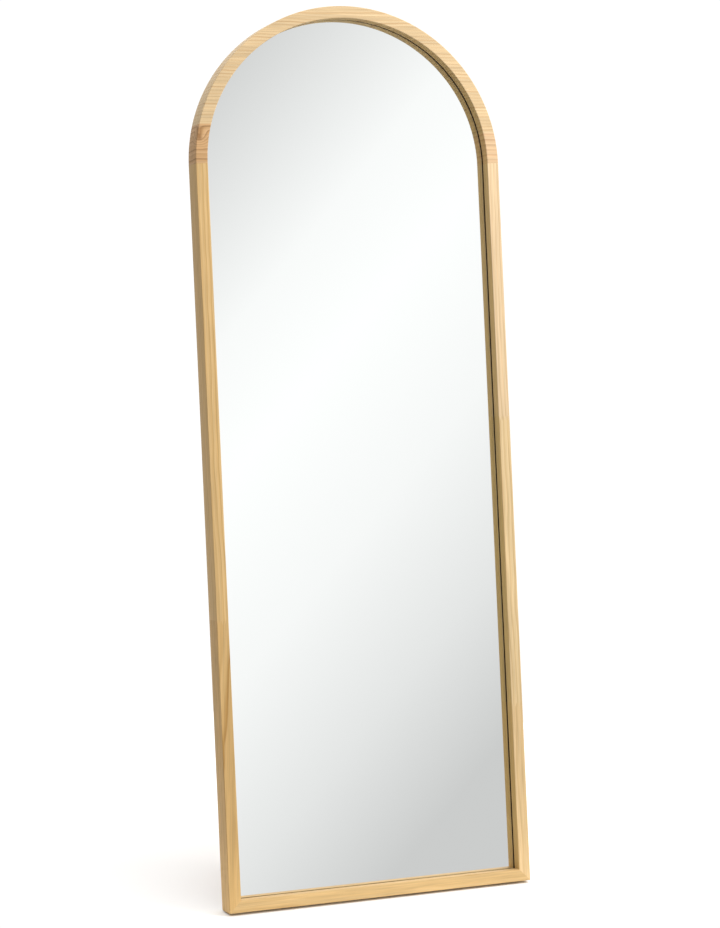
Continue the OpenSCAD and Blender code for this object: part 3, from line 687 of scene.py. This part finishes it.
LEG_X, LEG_W, LEG_T, LEG_TOP = 140 * MM, 32 * MM, 20 * MM, 30 * MM
BOLT_R, BRACKET_T, BRACKET_H, FLANGE_W = 3 * MM, 2 * MM, 56 * MM, 15 * MM
FLANGE_MARGIN = 10 * MM
CHEEK_R = BOLT_R + 7.5 * MM
CHEEK_X = LEG_W / 2 + 1.3 * MM
SPLAY = math.radians(6)
bolt_low, bolt_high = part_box("right_pivot_bolt")
PIVOT_Y, PIVOT_Z = (bolt_low.y + bolt_high.y) / 2, (bolt_low.z + bolt_high.z) / 2
PIVOT_DEPTH = (PIVOT_Y - FOOT_Y) * math.cos(LEAN) - (PIVOT_Z - FOOT_Z) * math.sin(LEAN)

nose = np.linspace(-math.pi / 2, math.pi / 2, 17)
cheek_outline = np.concatenate([
    [[RAIL_BACK, -CHEEK_R]],
    np.stack([PIVOT_DEPTH + CHEEK_R * np.cos(nose), CHEEK_R * np.sin(nose)], 1),
    [[RAIL_BACK, CHEEK_R]]])
half_plate = CHEEK_X + BRACKET_T + FLANGE_W
plate = rectangle((-half_plate, -BRACKET_H / 2), (half_plate, BRACKET_H / 2), 4 * MM)


def bracket_piece(name, side):
    """The back plate as a prism along the depth, and both cheeks as prisms across."""
    across, up, depth = prism(plate, RAIL_BACK, RAIL_BACK + BRACKET_T, 0.4 * MM)
    shells = [leaning(side * LEG_X + across, depth, PIVOT_UP + up)]
    for start in (-CHEEK_X - BRACKET_T, CHEEK_X):
        depth, up, across = prism(cheek_outline, start, start + BRACKET_T, 0.4 * MM)
        shells.append(leaning(side * LEG_X + across, depth, PIVOT_UP + up))
    return new_piece(name, shells, zinc_sheet)


HANDS = (("left", -1), ("right", 1))
for hand, side in HANDS:
    bracket = bracket_piece(f"pressed_{hand}_bracket", side)
    take_place(bracket, f"{hand}_bracket", "frame")
flange_x, flange_z = CHEEK_X + BRACKET_T + FLANGE_W / 2, BRACKET_H / 2 - FLANGE_MARGIN
flange_screws = [(LEG_X + x, PIVOT_UP + z) for x in (-flange_x, flange_x)
                 for z in (-flange_z, flange_z)]
screws("bracket_screws_pan_head", both_sides(flange_screws), RAIL_BACK + BRACKET_T, SCREW_IN,
       "bracket_screws")


# ---- The pivot bolts, nuts and washers ---------------------------------------
# M6 button-head bolts with a hexagon socket, turned through both cheeks and the leg and closed by
# a lock nut. White nylon washers keep the leg clear of the steel.

BOLT_HEAD_R, BOLT_HEAD_H, NUT_R, NUT_H = 5.5 * MM, 3.6 * MM, 5.8 * MM, 6 * MM
THREAD_PITCH, THREAD_DEPTH, SOCKET_R = 1 * MM, 0.35 * MM, 2 * MM
GRIP = CHEEK_X + BRACKET_T
ROUND = 48
around = np.linspace(0, 2 * np.pi, ROUND, endpoint=False)
hexagon = math.cos(math.pi / 6) / np.cos(around % (math.pi / 3) - math.pi / 6)


def round_bar(side, radius, outwards):
    """Rings of (radius, distance outwards from the leg's middle) round a pivot axis."""
    return leaning(side * (LEG_X + outwards), PIVOT_DEPTH + radius * np.sin(around),
                   PIVOT_UP + radius * np.cos(around))


def bolt_piece(name, side):
    """A domed head with a six-sided socket sunk in it, a plain shank, and a thread whose radius
    falls by a triangle wave of the distance along it plus the turn."""
    dome = BOLT_HEAD_R * np.array([0.99, 0.93, 0.8, 0.62, 0.46])
    head_out = GRIP + BOLT_HEAD_H * np.array([0.3, 0.55, 0.8, 0.95, 1.0])
    thread = np.linspace(-GRIP - NUT_H - 1.6 * MM, -GRIP + 2 * MM, 60)[:, None]
    phase = (thread / THREAD_PITCH + around / (2 * math.pi)) % 1
    radius = [np.full((1, ROUND), 0.5 * BOLT_R), BOLT_R - THREAD_DEPTH * np.abs(2 * phase - 1),
              np.full((2, ROUND), BOLT_R), np.full((1, ROUND), BOLT_HEAD_R),
              dome[:, None] + 0 * around, SOCKET_R * hexagon[None], SOCKET_R * hexagon[None]]
    outwards = np.concatenate([
        [-GRIP - NUT_H - 2 * MM], thread[:, 0], [-GRIP + 2.2 * MM, GRIP, GRIP], head_out,
        [GRIP + BOLT_HEAD_H, GRIP + 0.35 * BOLT_HEAD_H]])
    shell = round_bar(side, np.concatenate(radius), outwards[:, None])
    return new_piece(name, [shell], zinc_screws)


for hand, side in HANDS:
    bolt = bolt_piece(f"button_head_{hand}_bolt", side)
    take_place(bolt, f"{hand}_pivot_bolt", "frame")

nut_out = -GRIP - NUT_H * np.array([1.0, 1.0, 0.9, 0.1, 0.0, 0.0])[:, None]
turned_corner = NUT_R * np.array([0.6, 0.88, 1.0, 1.0, 0.88, 0.6])[:, None]
nut_radius = np.minimum(turned_corner, NUT_R * hexagon)
nut_shells = [round_bar(side, nut_radius, nut_out) for side in (1, -1)]
nuts = new_piece("hexagon_lock_nuts", nut_shells, zinc_screws)
take_place(nuts, "pivot_nuts", "frame")

nylon, tree, shader = new_material("natural_nylon")
place = add(tree, "TexCoord").outputs["Object"]
clouds = add(tree, "TexNoise", Vector=place, Scale=180.0, Detail=2.0).outputs["Fac"]
milky = add(tree, "ValToRGB", Fac=clouds, stops=[(0.3, linear("E4E1D6")), (0.7, linear("F1EFE8"))])
pores = add(tree, "TexNoise", Vector=place, Scale=3000.0).outputs["Fac"]
relief = add(tree, "Bump", Height=pores, Strength=0.1, Distance=0.2 * MM).outputs[0]
feed(shader, Base_Color=milky.outputs[0], Normal=relief, Roughness=0.45, Subsurface_Weight=0.1,
     Subsurface_Scale=2 * MM)
finish_node("pivot_washers", nylon)


# ---- The stand ---------------------------------------------------------------
# Two beech legs joined by two dowelled bars. It swings on the pivot bolts, from flat against the
# back to the angle at which the tops of its legs meet the brackets.

STAND_TILT = -SPLAY
BAR_H, BAR_END = 40 * MM, LEG_X - LEG_W / 2


def splayed(across, back, up):
    """Points of the standing leg's axes (right, back, up along the leg from the pivot), turned
    so that the foot stands back by the splay."""
    c, s = math.cos(SPLAY), math.sin(SPLAY)
    across, back, up = np.broadcast_arrays(across, back, up)
    return np.stack([across, PIVOT_Y + back * c - up * s, PIVOT_Z + back * s + up * c], -1)


def leg_piece(name, side, material):
    """A rectangle with eased edges carried from the foot, cut level above its pad, to the top."""
    outline = rectangle((-LEG_W / 2, -LEG_T / 2), (LEG_W / 2, LEG_T / 2), 2.5 * MM, 5)
    foot = (PAD_TOP - PIVOT_Z) / math.cos(SPLAY)
    across, back, up = prism(outline, foot, LEG_TOP, 1.2 * MM)
    up = up - back * math.tan(SPLAY) * (up < foot / 2)
    return new_piece(name, [splayed(side * LEG_X + across, back, up)], material)


def bar_piece(name, node_name, material):
    """A rectangle with eased edges carried across between the legs."""
    bar_low, bar_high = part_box(node_name)
    middle = (bar_low + bar_high) / 2
    height = (middle.z - PIVOT_Z) * math.cos(SPLAY) - (middle.y - PIVOT_Y) * math.sin(SPLAY)
    outline = rectangle((-LEG_T / 2, height - BAR_H / 2), (LEG_T / 2, height + BAR_H / 2),
                        2.5 * MM, 5)
    back, up, across = prism(outline, -BAR_END, BAR_END, 0.05 * MM)
    return new_piece(name, [splayed(across, back, up)], material)


left_beech = planed_beech("satin_beech_left_leg", "Z", STAND_TILT, beech_colours, 0.15, 1.3)
right_beech = planed_beech("satin_beech_right_leg", "Z", STAND_TILT,
                           ("D8B282", "CCA371", "9C7346"), 0.15, 2.1)
bar_beech = planed_beech("satin_beech_bars", "X", STAND_TILT, ("E0BC8E", "D2AB7B", "A47C50"),
                         0.15, 3.7)
stand_pieces = {
    "left_leg": leg_piece("beech_left_leg", -1, left_beech),
    "right_leg": leg_piece("beech_right_leg", 1, right_beech),
    "stand_top_bar": bar_piece("beech_top_bar", "stand_top_bar", bar_beech),
    "stand_bottom_bar": bar_piece("beech_bottom_bar", "stand_bottom_bar", bar_beech),
}
for node_name, piece in stand_pieces.items():
    take_place(piece, node_name, "stand")


# ---- The rubber pads ---------------------------------------------------------
# 1.5 mm black rubber, stuck under the sole of the frame and under the legs. It is cut from sheet
# whose cloth-marked face has a weave of about 0.6 mm.

rubber, tree, shader = new_material("black_sheet_rubber")
place = add(tree, "TexCoord").outputs["Object"]
dust = add(tree, "TexNoise", Vector=place, Scale=400.0, Detail=3.0).outputs["Fac"]
dusty = add(tree, "ValToRGB", Fac=dust, stops=[(0.35, linear("121212")), (0.7, linear("222120"))])
weave = add(tree, "TexVoronoi", {"distance": "CHEBYCHEV"}, Vector=place, Scale=1700.0,
            Randomness=0.0).outputs["Distance"]
relief = add(tree, "Bump", Height=weave, Strength=0.3, Distance=0.3 * MM).outputs[0]
feed(shader, Base_Color=dusty.outputs[0], Normal=relief, Roughness=0.8)
for node_name in ("frame_pads", "leg_pads"):
    finish_node(node_name, rubber)


# ---- The hangers -------------------------------------------------------------
# For hanging the mirror flat on a wall: a zinc-plated strip is screwed to the rail and rolled
# over the straight side of a D-shaped wire ring, which swings in it.

HANGER_X, HANGER_UP = HALF_W - 68 * MM, PIVOT_UP + 21 * MM
STRIP_W, STRIP_L, STRIP_T, ROLL_T = 12 * MM, 42 * MM, 1.5 * MM, 1.2 * MM
WIRE_R, WIRE_GAP, RING_W, RING_L = 1.5 * MM, 0.06 * MM, 20 * MM, 22 * MM
RING_DEPTH = RAIL_BACK + STRIP_T + WIRE_R + WIRE_GAP
BOW_R = RING_W / 2 + WIRE_R
STRIP_POINTS, CURL_POINTS = 8, 26


def rolled_strip():
    """The outline of the strip from its side: a middle line straight up and then round the wire,
    with half the thickness laid off square to it on both sides."""
    roll_r = WIRE_R + WIRE_GAP + ROLL_T / 2
    turn = np.linspace(math.pi, -0.62 * math.pi, CURL_POINTS)
    curl = np.stack([RING_DEPTH + roll_r * np.cos(turn), roll_r * np.sin(turn)], 1)
    height = np.linspace(-STRIP_L, -2.2 * MM, STRIP_POINTS)
    straight = np.stack([np.full(STRIP_POINTS, RAIL_BACK + STRIP_T / 2), height], 1)
    line = np.concatenate([straight, curl])
    way = np.gradient(line, axis=0)
    way /= np.linalg.norm(way, axis=1)[:, None]
    thick = np.repeat([STRIP_T, ROLL_T], [STRIP_POINTS, CURL_POINTS])[:, None] / 2
    square = np.stack([-way[:, 1], way[:, 0]], 1) * thick
    return np.concatenate([line + square, (line - square)[::-1]])


def hanger_plate_piece(name, side):
    """The strip's outline carried across its width."""
    depth, up, across = prism(rolled_strip(), -STRIP_W / 2, STRIP_W / 2, 0.0)
    shell = leaning(side * HANGER_X + across, depth, HANGER_UP + up)[[0, -1]]
    return new_piece(name, [shell], zinc_sheet, filled(rolled_strip()))


def ring_piece(name, side):
    """Round wire carried along a D that hangs plumb: a straight side, two short arms and a half
    circle. Each ring of points lies square to the line."""
    corner = 1.6 * MM
    arm = RING_L - BOW_R
    bend = np.linspace(0, math.pi / 2, 6)
    bow = np.linspace(0, math.pi, 40)
    line = np.concatenate([
        np.stack([BOW_R - corner + corner * np.sin(bend), -corner + corner * np.cos(bend)], 1),
        np.stack([BOW_R * np.cos(bow), -arm - BOW_R * np.sin(bow)], 1),
        np.stack([corner - BOW_R - corner * np.cos(bend), -corner + corner * np.sin(bend)], 1)])
    way = np.roll(line, -1, 0) - np.roll(line, 1, 0)
    way /= np.linalg.norm(way, axis=1)[:, None]
    square = np.stack([way[:, 1], -way[:, 0]], 1)
    turn = np.linspace(0, 2 * math.pi, 20, endpoint=False)
    out = WIRE_R * np.cos(turn)
    across = line[:, 0, None] + square[:, 0, None] * out
    up = line[:, 1, None] + square[:, 1, None] * out
    back = np.broadcast_to(WIRE_R * np.sin(turn), across.shape)
    middle = leaning(side * HANGER_X, RING_DEPTH, HANGER_UP)
    return new_piece(name, [middle + np.stack([across, back, up], -1)], zinc_screws, ring=True)


for hand, side in HANDS:
    hanger = hanger_plate_piece(f"rolled_{hand}_hanger", side)
    take_place(hanger, f"{hand}_hanger_plate", "frame")
for hand, side in HANDS:
    ring = ring_piece(f"wire_{hand}_ring", side)
    take_place(ring, f"{hand}_hanger_ring", f"{hand}_ring")
HANGER_SCREW_DROPS, HANGER_SCREW_L = (14 * MM, 28 * MM), 15.5 * MM
hanger_screws = both_sides([(HANGER_X, HANGER_UP - drop) for drop in HANGER_SCREW_DROPS])
screws("hanger_screws_pan_head", hanger_screws, RAIL_BACK + STRIP_T, HANGER_SCREW_L,
       "hanger_screws")


# ---- Floor, light and camera -------------------------------------------------
# A plain white studio. The surround is dimmer to the left of the mirror and brighter above and to
# the right, and in front of it hangs a grey cloth, lit in a slanting band, that the mirror shows.

FLOOR_MIDDLE, FLOOR_REACH, FLOOR_CORNERS = (0.1, 0.6, 0.0), 1.0, 96
rim = np.linspace(0, 2 * math.pi, FLOOR_CORNERS, endpoint=False)
floor_points = FLOOR_MIDDLE + FLOOR_REACH * np.stack([np.cos(rim), np.sin(rim), 0 * rim], 1)
floor_mesh = bpy.data.meshes.new("studio_floor")
floor_mesh.from_pydata(floor_points.tolist(), [], [list(range(FLOOR_CORNERS))])
floor = bpy.data.objects.new("studio_floor", floor_mesh)
bpy.context.scene.collection.objects.link(floor)
matte, tree, shader = new_material("matte_white_floor")
feed(shader, Base_Color=linear("F8F8F7"), Roughness=0.95, Specular_IOR_Level=0.1)
floor_mesh.materials.append(matte)

world = bpy.data.worlds.new("white_surround")
bpy.context.scene.world = world
world.use_nodes = True
tree = world.node_tree
direction = add(tree, "TexCoord").outputs["Generated"]

# How far a direction points along each of these ways
ways = {"lamp": (0.7, 0.1, 0.7), "right": (1, 0, 0), "down": (0, 0, -1),
        "slant": (0.6896, 0.1939, -0.6977), "cloth": (0.3694, -0.9229, 0.1087)}
along = {way: add(tree, "VectorMath", {"operation": "DOT_PRODUCT"}, in0=direction,
                  in1=tuple(np.array(axis) / np.linalg.norm(axis))).outputs["Value"]
         for way, axis in ways.items()}

surround = add(tree, "MapRange", SMOOTH, Value=along["lamp"], From_Min=-0.52, From_Max=0.6,
               To_Min=0.28, To_Max=1.6).outputs[0]
flagged = add(tree, "MapRange", SMOOTH, Value=along["right"], From_Min=0.5, From_Max=0.95,
              To_Min=1.0, To_Max=0.5).outputs[0]
surround = add(tree, "Math", TIMES, in0=surround, in1=flagged).outputs[0]

# The cloth is 12 degrees in radius, with 12 more of soft edge. The band is (place, light)
BAND = ((-0.13, 0.66), (-0.068, 0.95), (-0.032, 1.0), (0.02, 0.93), (0.069, 0.78), (0.112, 0.6))
first, last = BAND[0][0], BAND[-1][0]
slant = add(tree, "MapRange", Value=along["slant"], From_Min=first, From_Max=last).outputs[0]
band = add(tree, "ValToRGB", Fac=slant, stops=[
    ((place - first) / (last - first), (light, light, light, 1)) for place, light in BAND])
cloth_light = add(tree, "Math", TIMES, in0=band.outputs["Color"], in1=1.1).outputs[0]
cloth = add(tree, "MapRange", SMOOTH, Value=along["cloth"], From_Min=math.cos(math.radians(24)),
            From_Max=math.cos(math.radians(12))).outputs[0]
lit = add(tree, "Mix", Factor=cloth, in2=surround, in3=cloth_light).outputs[0]

# Mirrored rays that go down past the floor's edge meet more white floor
WHITE = 1.05
below = add(tree, "MapRange", SMOOTH, Value=along["down"], From_Min=0.06, From_Max=0.16,
            To_Min=0.0, To_Max=1.0).outputs[0]
mirrored = add(tree, "LightPath").outputs["Is Glossy Ray"]
far_floor = add(tree, "Math", TIMES, in0=below, in1=mirrored).outputs[0]
lit = add(tree, "Mix", Factor=far_floor, in2=lit, in3=WHITE).outputs[0]
seen = add(tree, "LightPath").outputs["Is Camera Ray"]
light = add(tree, "Mix", Factor=seen, in2=lit, in3=WHITE).outputs[0]
feed(tree.nodes["Background"], Strength=light, Color=(1, 1, 1, 1))

key_data = bpy.data.lights.new("soft_key", "AREA")
key_data.size = 1.2
key_data.energy = 42.0
key = bpy.data.objects.new("soft_key", key_data)
bpy.context.scene.collection.objects.link(key)
key.location = (1.7, -1.3, 2.6)
key.rotation_euler = (math.radians(48), 0, math.radians(52))

VIEW_AZIMUTH, VIEW_DROP, VIEW_DISTANCE = math.radians(22.05), math.radians(6.56), 4.957
aim = leaning(-0.0088, 0.0, 0.8265)
camera_data = bpy.data.cameras.new("camera")
camera_data.sensor_fit = "VERTICAL"
camera_data.sensor_height = 36.0
camera_data.lens = 100.92
camera = bpy.data.objects.new("camera", camera_data)
bpy.context.scene.collection.objects.link(camera)
gaze = np.array([math.sin(VIEW_AZIMUTH) * math.cos(VIEW_DROP),
                 math.cos(VIEW_AZIMUTH) * math.cos(VIEW_DROP), -math.sin(VIEW_DROP)])
camera.location = aim - gaze * VIEW_DISTANCE
camera.rotation_euler = (math.pi / 2 - VIEW_DROP, 0, -VIEW_AZIMUTH)
bpy.context.scene.camera = camera
bpy.context.scene.view_settings.view_transform = "Standard"
